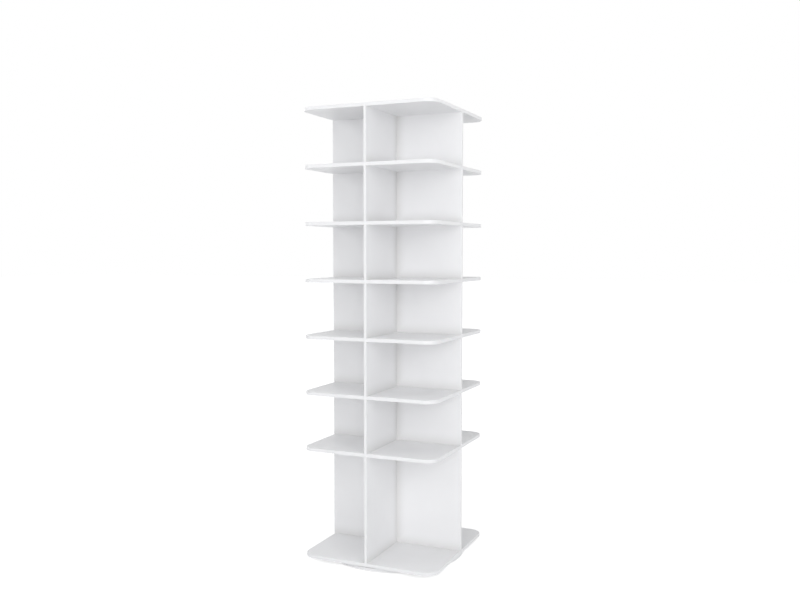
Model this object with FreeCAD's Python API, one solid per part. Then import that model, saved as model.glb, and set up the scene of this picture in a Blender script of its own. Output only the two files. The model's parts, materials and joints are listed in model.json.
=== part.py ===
"""Rotating shoe tower: eight square boards on cross dividers, turning on a round base disc.

Millimetres, +Z up. The origin is on the floor, on the upright axis that the tower turns about.
The tower is square about that axis, and its dividers stand along X and Y.
"""
import FreeCAD, Part
import math
import os

# ---------------------------------------------------------------- driving dimensions
# Square boards: base board, shelves and top board are cut alike.
BOARD_SIDE = 500.0
BOARD_CORNER_RADIUS = 46.0
BOARD_THICKNESS = 12.0

# Dividers: a cross of thin panels in every tier, whose ends stand a little proud of the boards.
# The lowest tier takes boots.
DIVIDER_THICKNESS = 9.0
DIVIDER_OVERHANG = 3.3
BOOT_TIER_HEIGHT = 366.0
SHOE_TIER_HEIGHT = 184.0
SHOE_TIER_COUNT = 6

# Edge band glued round the boards, the base disc and the outer ends of the dividers.
EDGE_BAND_THICKNESS = 0.8
EDGE_EASING = 0.5

# Round base disc that stays still on the floor, its rim just inside the boards' sides.
DISC_INSET = 3.0
DISC_THICKNESS = 9.0

# Turntable bearing: two flat aluminium rings, one inside the other, with balls between.
BEARING_OUTER_DIAMETER = 300.0
RING_WIDTH = 23.5
RING_GAP = 2.0
RING_STEP = 0.6
RING_CHAMFER = 0.4
BALL_DIAMETER = 5.0
BALL_COUNT = 48
RACE_COVER = 1.5
CAGE_SIDE_GAP = 0.4
CAGE_END_GAP = 0.7

# Seats routed for the bearing in the base board above it and the disc below it.
UPPER_SEAT_DEPTH = 3.0
LOWER_SEAT_DEPTH = 2.0

# Screws through the two bearing rings, at the same angles in both.
RING_SCREW_COUNT = 8
RING_SCREW_DIAMETER = 4.0
RING_SCREW_HEAD_DIAMETER = 7.5
ACCESS_MARGIN = 1.25

# Rubber feet under the disc, and the screws that hold them.
FOOT_COUNT = 6
FOOT_DIAMETER = 30.0
FOOT_INSET = 42.0
FOOT_WEB = 2.2
FOOT_EDGE_RADIUS = 1.0
FOOT_SCREW_DIAMETER = 3.5
FOOT_SCREW_HEAD_DIAMETER = 8.0
FOOT_SCREW_HEAD_HEIGHT = 2.2
FOOT_HEAD_SIDE_GAP = 1.5
FOOT_HEAD_COVER = 0.6

# Screws through the boards into the edges of the dividers.
PANEL_SCREW_DIAMETER = 3.5
PANEL_SCREW_HEAD_DIAMETER = 7.0
PANEL_SCREW_LENGTH = 40.0
PANEL_SCREW_TO_BEARING = 20.0

# Every screw: cross recess in the head, cone at the tip.
RECESS_SPAN = 4.2
RECESS_WIDTH = 1.4
RECESS_DEPTH = 1.4
TIP_LENGTH = 2.5
TIP_END_DIAMETER = 0.5

# Beech dowels: upright through the boards, and level across the long dividers.
DOWEL_DIAMETER = 5.0
DOWEL_CHAMFER = 0.5
DOWEL_SEAT = 12.0
CROSS_DOWEL_SEAT = 13.5
INNER_DOWEL_OFFSET = 65.0
OUTER_DOWEL_INSET = 25.0
CROSS_DOWEL_INSET = 46.0
BOOT_CROSS_DOWELS = 3
SHOE_CROSS_DOWELS = 2

# Plugs over the sunk screws of the top board, flush with its face.
PLUG_DIAMETER = 10.0
PLUG_DEPTH = 3.0
PLUG_EDGE_RADIUS = 0.3

# Clearances, and the material left over the end of a blind hole.
SCREW_FIT = 0.05
DOWEL_FIT = 0.05
PLUG_FIT = 0.05
PEG_FIT = 0.1
HOLE_END_GAP = 0.5
RACE_CLEARANCE = 0.3
SEAT_FIT = 0.2
SEAT_RUNNING_GAP = 1.0
SCREW_COVER = 1.5
SOCKET_COVER = 3.5
FILLET_LIMIT = 0.8

# ---------------------------------------------------------------- sizes that follow
HALF_SIDE = BOARD_SIDE / 2
HALF_DIVIDER = DIVIDER_THICKNESS / 2
DIVIDER_REACH = HALF_SIDE + DIVIDER_OVERHANG
DISC_DIAMETER = BOARD_SIDE - 2 * DISC_INSET
DISC_CORE_DIAMETER = DISC_DIAMETER - 2 * EDGE_BAND_THICKNESS

BALL_RADIUS = BALL_DIAMETER / 2
BALL_CIRCLE_DIAMETER = BEARING_OUTER_DIAMETER - 2 * RING_WIDTH - RING_GAP
BALL_CIRCLE_RADIUS = BALL_CIRCLE_DIAMETER / 2
BEARING_INNER_DIAMETER = BALL_CIRCLE_DIAMETER - RING_GAP - 2 * RING_WIDTH
BEARING_HEIGHT = BALL_DIAMETER + 2 * RACE_COVER
RING_HEIGHT = BEARING_HEIGHT - RING_STEP
OUTER_SCREW_RADIUS = (BEARING_OUTER_DIAMETER - RING_WIDTH) / 2
INNER_SCREW_RADIUS = (BEARING_INNER_DIAMETER + RING_WIDTH) / 2
FIRST_RING_SCREW_ANGLE = 180.0 / RING_SCREW_COUNT

FOOT_RECESS_DEPTH = FOOT_SCREW_HEAD_HEIGHT + FOOT_HEAD_COVER
FOOT_HEIGHT = FOOT_RECESS_DEPTH + FOOT_WEB
FOOT_CIRCLE_RADIUS = DISC_DIAMETER / 2 - FOOT_INSET

PANEL_SCREW_OFFSET = BEARING_OUTER_DIAMETER / 2 + PANEL_SCREW_TO_BEARING
OUTER_DOWEL_OFFSET = HALF_SIDE - OUTER_DOWEL_INSET

# Levels, from the floor up.
DISC_BOTTOM = FOOT_HEIGHT
DISC_TOP = DISC_BOTTOM + DISC_THICKNESS
BEARING_BOTTOM = DISC_TOP - LOWER_SEAT_DEPTH
OUTER_RING_BOTTOM = BEARING_BOTTOM + RING_STEP
BEARING_MIDDLE = BEARING_BOTTOM + BEARING_HEIGHT / 2
BASE_BOARD_BOTTOM = BEARING_BOTTOM + BEARING_HEIGHT - UPPER_SEAT_DEPTH
TIER_HEIGHTS = [BOOT_TIER_HEIGHT] + [SHOE_TIER_HEIGHT] * SHOE_TIER_COUNT
TOP_LEVEL = len(TIER_HEIGHTS)

INNER_SCREW_LENGTH = DISC_THICKNESS - LOWER_SEAT_DEPTH + RING_HEIGHT - SCREW_COVER
OUTER_SCREW_LENGTH = RING_HEIGHT + BOARD_THICKNESS - UPPER_SEAT_DEPTH - SCREW_COVER
FOOT_SCREW_LENGTH = FOOT_WEB + DISC_THICKNESS - SCREW_COVER

ARM_ANGLES = (0.0, 90.0, 180.0, 270.0)
UP = FreeCAD.Vector(0, 0, 1)
DOWN = FreeCAD.Vector(0, 0, -1)
RIGHT = FreeCAD.Vector(1, 0, 0)
CENTRE = FreeCAD.Vector(0, 0, 0)


# ---------------------------------------------------------------- places
def board_bottom(level):
    """Level 0 is the base board; each board above it stands on one more tier."""
    return BASE_BOARD_BOTTOM + level * BOARD_THICKNESS + sum(TIER_HEIGHTS[:level])


def board_top(level):
    return board_bottom(level) + BOARD_THICKNESS


def board_name(level):
    if level == 0:
        return "base_board"
    return "top_board" if level == TOP_LEVEL else f"shelf_{level}"


def on_circle(radius, angle, level):
    """The point at a radius and an angle in degrees about the tower's axis."""
    turn = math.radians(angle)
    return FreeCAD.Vector(radius * math.cos(turn), radius * math.sin(turn), level)


def spread_points(radius, count, first_angle, level):
    """Points evenly spread round the axis."""
    return [on_circle(radius, first_angle + 360.0 * index / count, level)
            for index in range(count)]


def arm_points(offset, level):
    """The four points at one offset along the arms of the divider cross."""
    return [on_circle(offset, angle, level) for angle in ARM_ANGLES]


# ---------------------------------------------------------------- plain shapes
def cylinder(diameter, height, foot, direction=UP):
    return Part.makeCylinder(diameter / 2, height, foot, direction)


def tube(outer_diameter, inner_diameter, bottom, height):
    foot = FreeCAD.Vector(0, 0, bottom)
    return cylinder(outer_diameter, height, foot).cut(cylinder(inner_diameter, height, foot))


def is_upright(edge):
    start, end = edge.Vertexes[0].Point, edge.Vertexes[-1].Point
    return abs(start.z - end.z) > edge.Length / 2


def level_edges(shape):
    """The edges round the top and bottom faces."""
    return [edge for edge in shape.Edges if not is_upright(edge)]


def limited(radius, wall):
    """A fillet's radius, or less where the wall is too thin for it."""
    return min(radius, FILLET_LIMIT * wall)


def square_slab(inset, bottom):
    """A board's square with rounded corners, pulled in all round by the inset."""
    side = BOARD_SIDE - 2 * inset
    corner = FreeCAD.Vector(-side / 2, -side / 2, bottom)
    block = Part.makeBox(side, side, BOARD_THICKNESS, corner)
    uprights = [edge for edge in block.Edges if is_upright(edge)]
    return block.makeFillet(BOARD_CORNER_RADIUS - inset, uprights)


def placed(shape, point, upside_down=False):
    """A copy at a point, turned over if it is driven upwards."""
    copy = shape.copy()
    if upside_down:
        copy.rotate(CENTRE, RIGHT, 180)
    copy.translate(point)
    return copy


def write_node(name, pieces):
    """Write one node: a single solid, or a group of like solids."""
    shape = pieces[0] if len(pieces) == 1 else Part.makeCompound(pieces)
    shape.exportStep("parts/" + name + ".step")
    print(name, len(shape.Solids), "solids, valid", shape.isValid())


# ---------------------------------------------------------------- fasteners
def cross_recess(top):
    """The cross that the driver turns, cut down into a head whose top is at this height."""
    bars = []
    for span_x, span_y in ((RECESS_SPAN, RECESS_WIDTH), (RECESS_WIDTH, RECESS_SPAN)):
        corner = FreeCAD.Vector(-span_x / 2, -span_y / 2, top - RECESS_DEPTH)
        bars.append(Part.makeBox(span_x, span_y, RECESS_DEPTH, corner))
    return bars[0].fuse(bars[1])


def screw_shank(diameter, length):
    """A shank that runs down from z = 0 and ends in a cone."""
    straight = cylinder(diameter, length - TIP_LENGTH, CENTRE, DOWN)
    tip_foot = FreeCAD.Vector(0, 0, TIP_LENGTH - length)
    tip = Part.makeCone(diameter / 2, TIP_END_DIAMETER / 2, TIP_LENGTH, tip_foot, DOWN)
    return straight.fuse(tip)


def head_cone(diameter, head_diameter, growth):
    """The cone under a countersunk head, grown sideways by a clearance."""
    height = (head_diameter - diameter) / 2
    return Part.makeCone(head_diameter / 2 + growth, diameter / 2 + growth, height, CENTRE, DOWN)


def countersunk_screw(diameter, head_diameter, length):
    """A screw that points down, with the top of its head at z = 0."""
    body = screw_shank(diameter, length).fuse(head_cone(diameter, head_diameter, 0.0))
    return body.cut(cross_recess(0.0))


def screw_bore(diameter, length):
    return cylinder(diameter + 2 * SCREW_FIT, length + HOLE_END_GAP, CENTRE, DOWN)


def countersunk_hole(diameter, head_diameter, length):
    """The hole for a countersunk screw, a little wider and deeper than the screw."""
    return screw_bore(diameter, length).fuse(head_cone(diameter, head_diameter, SCREW_FIT))


def pan_screw(diameter, head_diameter, head_height, length):
    """A screw whose head stands above z = 0 and whose shank runs down from there."""
    head = cylinder(head_diameter, head_height, CENTRE)
    rim = [edge for edge in head.Edges if edge.BoundBox.ZMin > head_height / 2]
    head = head.makeFillet(limited(RECESS_DEPTH, head_height / 2), rim)
    return head.fuse(screw_shank(diameter, length)).cut(cross_recess(head_height))


def dowel(length, middle, direction):
    """A dowel about its middle point, with chamfered ends."""
    foot = middle - direction * (length / 2)
    pin = cylinder(DOWEL_DIAMETER, length, foot, direction)
    rims = [edge for edge in pin.Edges if len(edge.Vertexes) == 1]
    return pin.makeChamfer(DOWEL_CHAMFER, rims)


def dowel_hole(length, middle, direction):
    """The hole for a dowel: a little wider, and longer at both ends."""
    reach = length + 2 * HOLE_END_GAP
    foot = middle - direction * (reach / 2)
    return cylinder(DOWEL_DIAMETER + 2 * DOWEL_FIT, reach, foot, direction)


# ---------------------------------------------------------------- fastener patterns
# Each pattern makes either the fasteners or their holes, so the two always agree.
def dowel_span(level):
    """The length and the middle height of the upright dowels at one board."""
    if 0 < level < TOP_LEVEL:
        return BOARD_THICKNESS + 2 * DOWEL_SEAT, board_bottom(level) + BOARD_THICKNESS / 2
    in_board = BOARD_THICKNESS - SOCKET_COVER - HOLE_END_GAP
    inner_face = board_top(level) if level == 0 else board_bottom(level)
    towards_divider = 1 if level == 0 else -1
    middle = inner_face + towards_divider * (DOWEL_SEAT - in_board) / 2
    return DOWEL_SEAT + in_board, middle


def board_dowels(level, make):
    """The upright dowels at one board: through a shelf, blind in the base and top boards."""
    length, height = dowel_span(level)
    points = arm_points(INNER_DOWEL_OFFSET, height) + arm_points(OUTER_DOWEL_OFFSET, height)
    return [make(length, point, UP) for point in points]


def screw_face(level):
    """The height of the screw heads' tops at one board. Those of the top board are sunk."""
    if level == 0:
        return board_bottom(level)
    return board_top(level) - (PLUG_DEPTH if level == TOP_LEVEL else 0.0)


def board_screws(level, make):
    """The screws at one board: up through the base board, down through the others."""
    shape = make(PANEL_SCREW_DIAMETER, PANEL_SCREW_HEAD_DIAMETER, PANEL_SCREW_LENGTH)
    points = arm_points(PANEL_SCREW_OFFSET, screw_face(level))
    return [placed(shape, point, upside_down=level == 0) for point in points]


def tier_cross_dowels(tier, make):
    """The level dowels that pin the short dividers to the long one."""
    count = BOOT_CROSS_DOWELS if tier == 0 else SHOE_CROSS_DOWELS
    lowest = board_top(tier) + CROSS_DOWEL_INSET
    highest = board_bottom(tier + 1) - CROSS_DOWEL_INSET
    length = DIVIDER_THICKNESS + 2 * CROSS_DOWEL_SEAT
    heights = [lowest + (highest - lowest) * index / (count - 1) for index in range(count)]
    return [make(length, FreeCAD.Vector(0, 0, height), RIGHT) for height in heights]


def ring_screws(radius, level, length, make):
    """Screws driven upwards round one ring of the bearing."""
    shape = make(RING_SCREW_DIAMETER, RING_SCREW_HEAD_DIAMETER, length)
    points = spread_points(radius, RING_SCREW_COUNT, FIRST_RING_SCREW_ANGLE, level)
    return [placed(shape, point, upside_down=True) for point in points]


def inner_ring_screws(make):
    return ring_screws(INNER_SCREW_RADIUS, DISC_BOTTOM, INNER_SCREW_LENGTH, make)


def outer_ring_screws(make):
    return ring_screws(OUTER_SCREW_RADIUS, OUTER_RING_BOTTOM, OUTER_SCREW_LENGTH, make)


# ---------------------------------------------------------------- boards
def upper_bearing_seat():
    """It fits the outer ring, which turns with the board, and clears the inner one."""
    outer = BEARING_OUTER_DIAMETER + 2 * SEAT_FIT
    inner = BEARING_INNER_DIAMETER - 2 * SEAT_RUNNING_GAP
    return tube(outer, inner, BASE_BOARD_BOTTOM, UPPER_SEAT_DEPTH)


def plug_seats():
    """The round recesses over the top board's screws."""
    points = arm_points(PANEL_SCREW_OFFSET, screw_face(TOP_LEVEL))
    return [cylinder(PLUG_DIAMETER + 2 * PLUG_FIT, PLUG_DEPTH, point) for point in points]


def board(level):
    """One square board, drilled for its dowels and screws."""
    blank = square_slab(EDGE_BAND_THICKNESS, board_bottom(level))
    cuts = board_dowels(level, dowel_hole) + board_screws(level, countersunk_hole)
    if level == 0:
        cuts += [upper_bearing_seat()] + outer_ring_screws(countersunk_hole)
    if level == TOP_LEVEL:
        cuts += plug_seats()
    return blank.cut(cuts)


def board_edge_band(level):
    """The strip glued round a board, its outer edges eased."""
    full = square_slab(0.0, board_bottom(level))
    full = full.makeFillet(limited(EDGE_EASING, EDGE_BAND_THICKNESS), level_edges(full))
    return full.cut(square_slab(EDGE_BAND_THICKNESS, board_bottom(level)))


# ---------------------------------------------------------------- dividers
def divider_blank(tier, start, end):
    """A divider along X from start to end, as tall as its tier."""
    corner = FreeCAD.Vector(start, -HALF_DIVIDER, board_top(tier))
    return Part.makeBox(end - start, DIVIDER_THICKNESS, TIER_HEIGHTS[tier], corner)


def divider_cuts(tier):
    """Every hole that the dividers of a tier share with their boards and with each other."""
    cuts = board_dowels(tier, dowel_hole) + board_dowels(tier + 1, dowel_hole)
    cuts += board_screws(tier + 1, countersunk_hole)
    if tier == 0:
        cuts += board_screws(tier, countersunk_hole)
    return cuts + tier_cross_dowels(tier, dowel_hole)


def tier_dividers(tier):
    """The long divider along Y and the short ones to its right and left."""
    reach = DIVIDER_REACH - EDGE_BAND_THICKNESS
    long_one = divider_blank(tier, -reach, reach)
    long_one.rotate(CENTRE, UP, 90)
    right = divider_blank(tier, HALF_DIVIDER, reach)
    left = divider_blank(tier, -reach, -HALF_DIVIDER)
    cuts = divider_cuts(tier)
    blanks = {"long": long_one, "right": right, "left": left}
    return {name: blank.cut(cuts) for name, blank in blanks.items()}


def divider_edge_bands(tier):
    """The strips on the outer ends of a tier's cross, their two long outer edges eased."""
    strip = divider_blank(tier, DIVIDER_REACH - EDGE_BAND_THICKNESS, DIVIDER_REACH)
    outer_side = DIVIDER_REACH - EDGE_BAND_THICKNESS / 2
    outer_edges = [edge for edge in strip.Edges
                   if is_upright(edge) and edge.BoundBox.XMin > outer_side]
    strip = strip.makeFillet(limited(EDGE_EASING, EDGE_BAND_THICKNESS), outer_edges)
    strips = []
    for angle in ARM_ANGLES:
        copy = strip.copy()
        copy.rotate(CENTRE, UP, angle)
        strips.append(copy)
    return strips


# ---------------------------------------------------------------- base
def lower_bearing_seat():
    """It fits the inner ring, which stays still with the disc, and clears the outer one."""
    outer = BEARING_OUTER_DIAMETER + 2 * SEAT_RUNNING_GAP
    inner = BEARING_INNER_DIAMETER - 2 * SEAT_FIT
    return tube(outer, inner, BEARING_BOTTOM, LOWER_SEAT_DEPTH)


def foot_points(level):
    return spread_points(FOOT_CIRCLE_RADIUS, FOOT_COUNT, 0.0, level)


def foot_pad():
    """A round rubber foot with its floor face at z = 0 and a recess for the screw's head."""
    pad = cylinder(FOOT_DIAMETER, FOOT_HEIGHT, CENTRE)
    rim = [edge for edge in pad.Edges if edge.BoundBox.ZMax < FOOT_HEIGHT / 2]
    pad = pad.makeFillet(limited(FOOT_EDGE_RADIUS, FOOT_HEIGHT), rim)
    recess_diameter = FOOT_SCREW_HEAD_DIAMETER + 2 * FOOT_HEAD_SIDE_GAP
    recess = cylinder(recess_diameter, FOOT_RECESS_DEPTH, CENTRE)
    bore = cylinder(FOOT_SCREW_DIAMETER + 2 * SCREW_FIT, FOOT_HEIGHT, CENTRE)
    return pad.cut([recess, bore])


def foot_screws():
    screw = pan_screw(
        FOOT_SCREW_DIAMETER, FOOT_SCREW_HEAD_DIAMETER, FOOT_SCREW_HEAD_HEIGHT, FOOT_SCREW_LENGTH)
    return [placed(screw, point, upside_down=True) for point in foot_points(FOOT_RECESS_DEPTH)]


def foot_screw_bores():
    bore = screw_bore(FOOT_SCREW_DIAMETER, FOOT_SCREW_LENGTH)
    return [placed(bore, point, upside_down=True) for point in foot_points(FOOT_RECESS_DEPTH)]


def access_hole():
    """Through this hole a driver reaches the outer ring's screws, one after the other."""
    foot = on_circle(OUTER_SCREW_RADIUS, FIRST_RING_SCREW_ANGLE, DISC_BOTTOM)
    return cylinder(RING_SCREW_HEAD_DIAMETER + 2 * ACCESS_MARGIN, DISC_THICKNESS, foot)


def base_disc():
    """The round disc, with the bearing seat, the screw holes and the access hole."""
    foot = FreeCAD.Vector(0, 0, DISC_BOTTOM)
    blank = cylinder(DISC_CORE_DIAMETER, DISC_THICKNESS, foot)
    cuts = [lower_bearing_seat(), access_hole()]
    return blank.cut(cuts + foot_screw_bores() + inner_ring_screws(countersunk_hole))


def disc_edge_band():
    full = cylinder(DISC_DIAMETER, DISC_THICKNESS, FreeCAD.Vector(0, 0, DISC_BOTTOM))
    full = full.makeFillet(limited(EDGE_EASING, EDGE_BAND_THICKNESS), level_edges(full))
    return full.cut(cylinder(DISC_CORE_DIAMETER, DISC_THICKNESS, FreeCAD.Vector(0, 0, DISC_BOTTOM)))


# ---------------------------------------------------------------- bearing
def bearing_ring(outer_diameter, inner_diameter, bottom):
    """A flat ring with chamfered edges and half of the round groove that the balls run in."""
    ring = tube(outer_diameter, inner_diameter, bottom, RING_HEIGHT)
    ring = ring.makeChamfer(RING_CHAMFER, level_edges(ring))
    middle = FreeCAD.Vector(0, 0, BEARING_MIDDLE)
    return ring.cut(Part.makeTorus(BALL_CIRCLE_RADIUS, BALL_RADIUS + RACE_CLEARANCE, middle))


def outer_ring():
    """Screwed to the base board: it turns with the tower and stands clear of the disc."""
    inner_diameter = BALL_CIRCLE_DIAMETER + RING_GAP
    ring = bearing_ring(BEARING_OUTER_DIAMETER, inner_diameter, OUTER_RING_BOTTOM)
    return ring.cut(outer_ring_screws(countersunk_hole))


def inner_ring():
    """Screwed to the disc: it stays still and stands clear of the base board."""
    outer_diameter = BALL_CIRCLE_DIAMETER - RING_GAP
    ring = bearing_ring(outer_diameter, BEARING_INNER_DIAMETER, BEARING_BOTTOM)
    return ring.cut(inner_ring_screws(countersunk_hole))


def balls():
    centres = spread_points(BALL_CIRCLE_RADIUS, BALL_COUNT, 0.0, BEARING_MIDDLE)
    return [Part.makeSphere(BALL_RADIUS, centre) for centre in centres]


def ball_cage():
    """A thin nylon hoop between the rings, with a round pocket for every ball."""
    wall = RING_GAP - 2 * CAGE_SIDE_GAP
    outer = BALL_CIRCLE_DIAMETER + wall
    inner = BALL_CIRCLE_DIAMETER - wall
    height = BEARING_HEIGHT - 2 * CAGE_END_GAP
    hoop = tube(outer, inner, BEARING_BOTTOM + CAGE_END_GAP, height)
    pockets = []
    for foot in spread_points(BALL_CIRCLE_RADIUS - wall, BALL_COUNT, 0.0, BEARING_MIDDLE):
        outwards = FreeCAD.Vector(foot.x, foot.y, 0)
        pockets.append(cylinder(BALL_DIAMETER + 2 * RACE_CLEARANCE, 2 * wall, foot, outwards))
    return hoop.cut(pockets)


# ---------------------------------------------------------------- plugs in the top board
def screw_plugs():
    """Flush plugs with a peg that pushes into the screw's recess."""
    plug = cylinder(PLUG_DIAMETER, PLUG_DEPTH, CENTRE)
    rim = [edge for edge in plug.Edges if edge.BoundBox.ZMin > PLUG_DEPTH / 2]
    plug = plug.makeFillet(limited(PLUG_EDGE_RADIUS, PLUG_DEPTH), rim)
    plug = plug.fuse(cylinder(RECESS_WIDTH - PEG_FIT, RECESS_DEPTH - HOLE_END_GAP, CENTRE, DOWN))
    points = arm_points(PANEL_SCREW_OFFSET, screw_face(TOP_LEVEL))
    return [placed(plug, point) for point in points]


# ---------------------------------------------------------------- write every node
def write_base():
    write_node("foot_pads", [placed(foot_pad(), point) for point in foot_points(0.0)])
    write_node("foot_screws", foot_screws())
    write_node("base_disc", [base_disc()])
    write_node("base_disc_edge_band", [disc_edge_band()])


def write_bearing():
    write_node("bearing_inner_ring", [inner_ring()])
    write_node("inner_ring_screws", inner_ring_screws(countersunk_screw))
    write_node("bearing_outer_ring", [outer_ring()])
    write_node("outer_ring_screws", outer_ring_screws(countersunk_screw))
    write_node("bearing_balls", balls())
    write_node("bearing_ball_cage", [ball_cage()])


def write_boards():
    for level in range(TOP_LEVEL + 1):
        write_node(board_name(level), [board(level)])
        write_node(board_name(level) + "_edge_band", [board_edge_band(level)])


def write_dividers():
    strips = []
    for tier in range(TOP_LEVEL):
        for side, divider in tier_dividers(tier).items():
            write_node(f"tier_{tier + 1}_{side}_divider", [divider])
        strips += divider_edge_bands(tier)
    write_node("divider_edge_bands", strips)


def write_fasteners():
    shelves = range(1, TOP_LEVEL)
    write_node("shelf_dowels", [pin for level in shelves for pin in board_dowels(level, dowel)])
    write_node("end_dowels", board_dowels(0, dowel) + board_dowels(TOP_LEVEL, dowel))
    tiers = range(TOP_LEVEL)
    write_node("cross_dowels", [pin for tier in tiers for pin in tier_cross_dowels(tier, dowel)])
    write_node("base_board_screws", board_screws(0, countersunk_screw))
    shelf_screws = [board_screws(level, countersunk_screw) for level in shelves]
    write_node("shelf_screws", sum(shelf_screws, []))
    write_node("top_board_screws", board_screws(TOP_LEVEL, countersunk_screw))
    write_node("top_screw_plugs", screw_plugs())


def main():
    os.makedirs("parts", exist_ok=True)
    write_base()
    write_bearing()
    write_boards()
    write_dividers()
    write_fasteners()
    print("overall height", board_top(TOP_LEVEL), "side", 2 * DIVIDER_REACH)


main()
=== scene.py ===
# %% [markdown]
# # A rotating shoe tower
# The tower is a flat-pack piece: eight square boards faced with white melamine, held apart by thin
# upright dividers, all of it turning on a round base disc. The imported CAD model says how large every
# piece is and where it sits. This lesson gives each piece the finish that it has in a shop: faced
# boards with glued edge bands, drilled holes that show the chipboard, and turned metal in the bearing.

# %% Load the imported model
import json
import math
from functools import partial
import bmesh
import bpy
from mathutils import Matrix, Vector


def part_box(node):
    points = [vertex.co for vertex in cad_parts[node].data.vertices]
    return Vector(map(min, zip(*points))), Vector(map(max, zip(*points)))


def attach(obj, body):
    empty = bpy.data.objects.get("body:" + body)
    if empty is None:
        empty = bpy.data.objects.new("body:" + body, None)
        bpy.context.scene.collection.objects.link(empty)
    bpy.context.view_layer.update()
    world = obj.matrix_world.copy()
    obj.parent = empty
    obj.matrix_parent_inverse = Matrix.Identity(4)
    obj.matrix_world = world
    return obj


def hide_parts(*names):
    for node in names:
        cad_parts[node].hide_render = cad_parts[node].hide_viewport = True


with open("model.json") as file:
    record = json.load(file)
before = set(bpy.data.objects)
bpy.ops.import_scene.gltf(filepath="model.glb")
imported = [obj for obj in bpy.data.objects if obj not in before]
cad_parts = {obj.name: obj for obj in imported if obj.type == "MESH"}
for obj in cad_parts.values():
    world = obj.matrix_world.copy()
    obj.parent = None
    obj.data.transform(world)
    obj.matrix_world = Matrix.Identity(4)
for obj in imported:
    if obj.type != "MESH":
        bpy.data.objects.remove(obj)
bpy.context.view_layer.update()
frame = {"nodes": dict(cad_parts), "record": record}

# %% [markdown]
# ## Camera
# The tower is taken from its front right, from a little above the middle of its height, with a normal
# lens. The camera could be aimed by a constraint, but plain angles say the same and stay put.

# %% Camera
CAMERA_PLACE = (1.2857, -2.8638, 1.0865)
CAMERA_TURN = math.radians(23.912)
CAMERA_DIP = math.radians(3.124)
LENS = 39.178
SENSOR_WIDTH = 36.0
STRAIGHT_AHEAD = math.radians(90.0)

camera_data = bpy.data.cameras.new("camera")
camera_data.lens = LENS
camera_data.sensor_width = SENSOR_WIDTH
camera = bpy.data.objects.new("camera", camera_data)
camera.location = CAMERA_PLACE
camera.rotation_euler = (STRAIGHT_AHEAD - CAMERA_DIP, 0.0, CAMERA_TURN)
bpy.context.scene.collection.objects.link(camera)
bpy.context.scene.camera = camera
print("Camera:", CAMERA_PLACE, "lens", LENS)

# %% [markdown]
# ## Shader nodes in one line
# A material is a small network of nodes. Adding a node, setting it and wiring it takes three steps
# each time, so one helper does all three: a socket is given either a number or another node's output.

# %% Node helper
def wire(tree, kind, inputs=None, **settings):
    """Add a node, set its properties, and link or fill its input sockets."""
    made = tree.nodes.new(kind)
    for name, value in settings.items():
        setattr(made, name, value)
    for socket, value in (inputs or {}).items():
        if isinstance(value, bpy.types.NodeSocket):
            tree.links.new(value, made.inputs[socket])
        else:
            made.inputs[socket].default_value = value
    return made


def calculate(tree, operation, first, second):
    """A Math node that takes two numbers or sockets."""
    return wire(tree, "ShaderNodeMath", {0: first, 1: second}, operation=operation).outputs[0]


def mix_value(tree, factor, first, second):
    """Blend two numbers by a factor."""
    return wire(tree, "ShaderNodeMix", {0: factor, 2: first, 3: second}, data_type="FLOAT").outputs[0]


def mix_colour(tree, factor, first, second):
    """Blend two colours by a factor. The Mix node has such sockets for every kind of value."""
    mixed = wire(tree, "ShaderNodeMix", data_type="RGBA")
    for socket, value in (("Factor_Float", factor), ("A_Color", first), ("B_Color", second)):
        target = next(s for s in mixed.inputs if s.identifier == socket)
        if isinstance(value, bpy.types.NodeSocket):
            tree.links.new(value, target)
        else:
            target.default_value = value
    return next(s for s in mixed.outputs if s.identifier == "Result_Color")


def stretch(tree, value, from_low, from_high, to_low, to_high):
    """Map a value from one range to another, clamped at the ends."""
    limits = {"From Min": from_low, "From Max": from_high, "To Min": to_low, "To Max": to_high}
    return wire(tree, "ShaderNodeMapRange", {"Value": value, **limits}).outputs["Result"]


def noise(tree, place, scale, **inputs):
    """Soft random clouds about a place, as one number."""
    given = {"Vector": place, "Scale": scale, **inputs}
    return wire(tree, "ShaderNodeTexNoise", given).outputs["Fac"]


def grey(level):
    """An opaque colour with red, green and blue alike."""
    return (level, level, level, 1.0)


# %% [markdown]
# ## Stage
# The studio is a white sweep. The floor is an ordinary pale surface for the light, so it bounces light
# up under the boards and takes the tower's shadow, and it only looks white to the camera and to
# mirrors. The world does the same: it lights at a plain level and shows as white.

# %% Stage
SHOWN_WHITE = 1.0
AMBIENT_COLOUR = (0.97, 0.985, 1.0, 1.0)
AMBIENT_LEVEL = 0.36
FLOOR_COLOUR = grey(0.9)
FLOOR_HALF_WIDTH = 30.0
LIFT_NEAR, LIFT_FAR = 0.57, 0.82
LIFT_STARTS, LIFT_ENDS = 0.7, 3.2


def seen_directly(tree):
    """1 where the camera, a reflection or glass looks, and 0 for the light itself."""
    path = wire(tree, "ShaderNodeLightPath").outputs
    mirrored = calculate(tree, "MAXIMUM", path["Is Glossy Ray"], path["Is Transmission Ray"])
    return calculate(tree, "MAXIMUM", path["Is Camera Ray"], mirrored)


def make_world():
    """Even light from all round, which shows as white."""
    world = bpy.data.worlds.new("studio")
    world.use_nodes = True
    tree = world.node_tree
    tree.nodes.clear()
    shown = seen_directly(tree)
    ambient = wire(tree, "ShaderNodeBackground", {"Color": AMBIENT_COLOUR, "Strength": AMBIENT_LEVEL})
    white = wire(tree, "ShaderNodeBackground", {"Color": grey(1.0), "Strength": SHOWN_WHITE})
    both = wire(tree, "ShaderNodeMixShader", {0: shown, 1: ambient.outputs[0], 2: white.outputs[0]})
    wire(tree, "ShaderNodeOutputWorld", {"Surface": both.outputs[0]})
    bpy.context.scene.world = world


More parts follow.
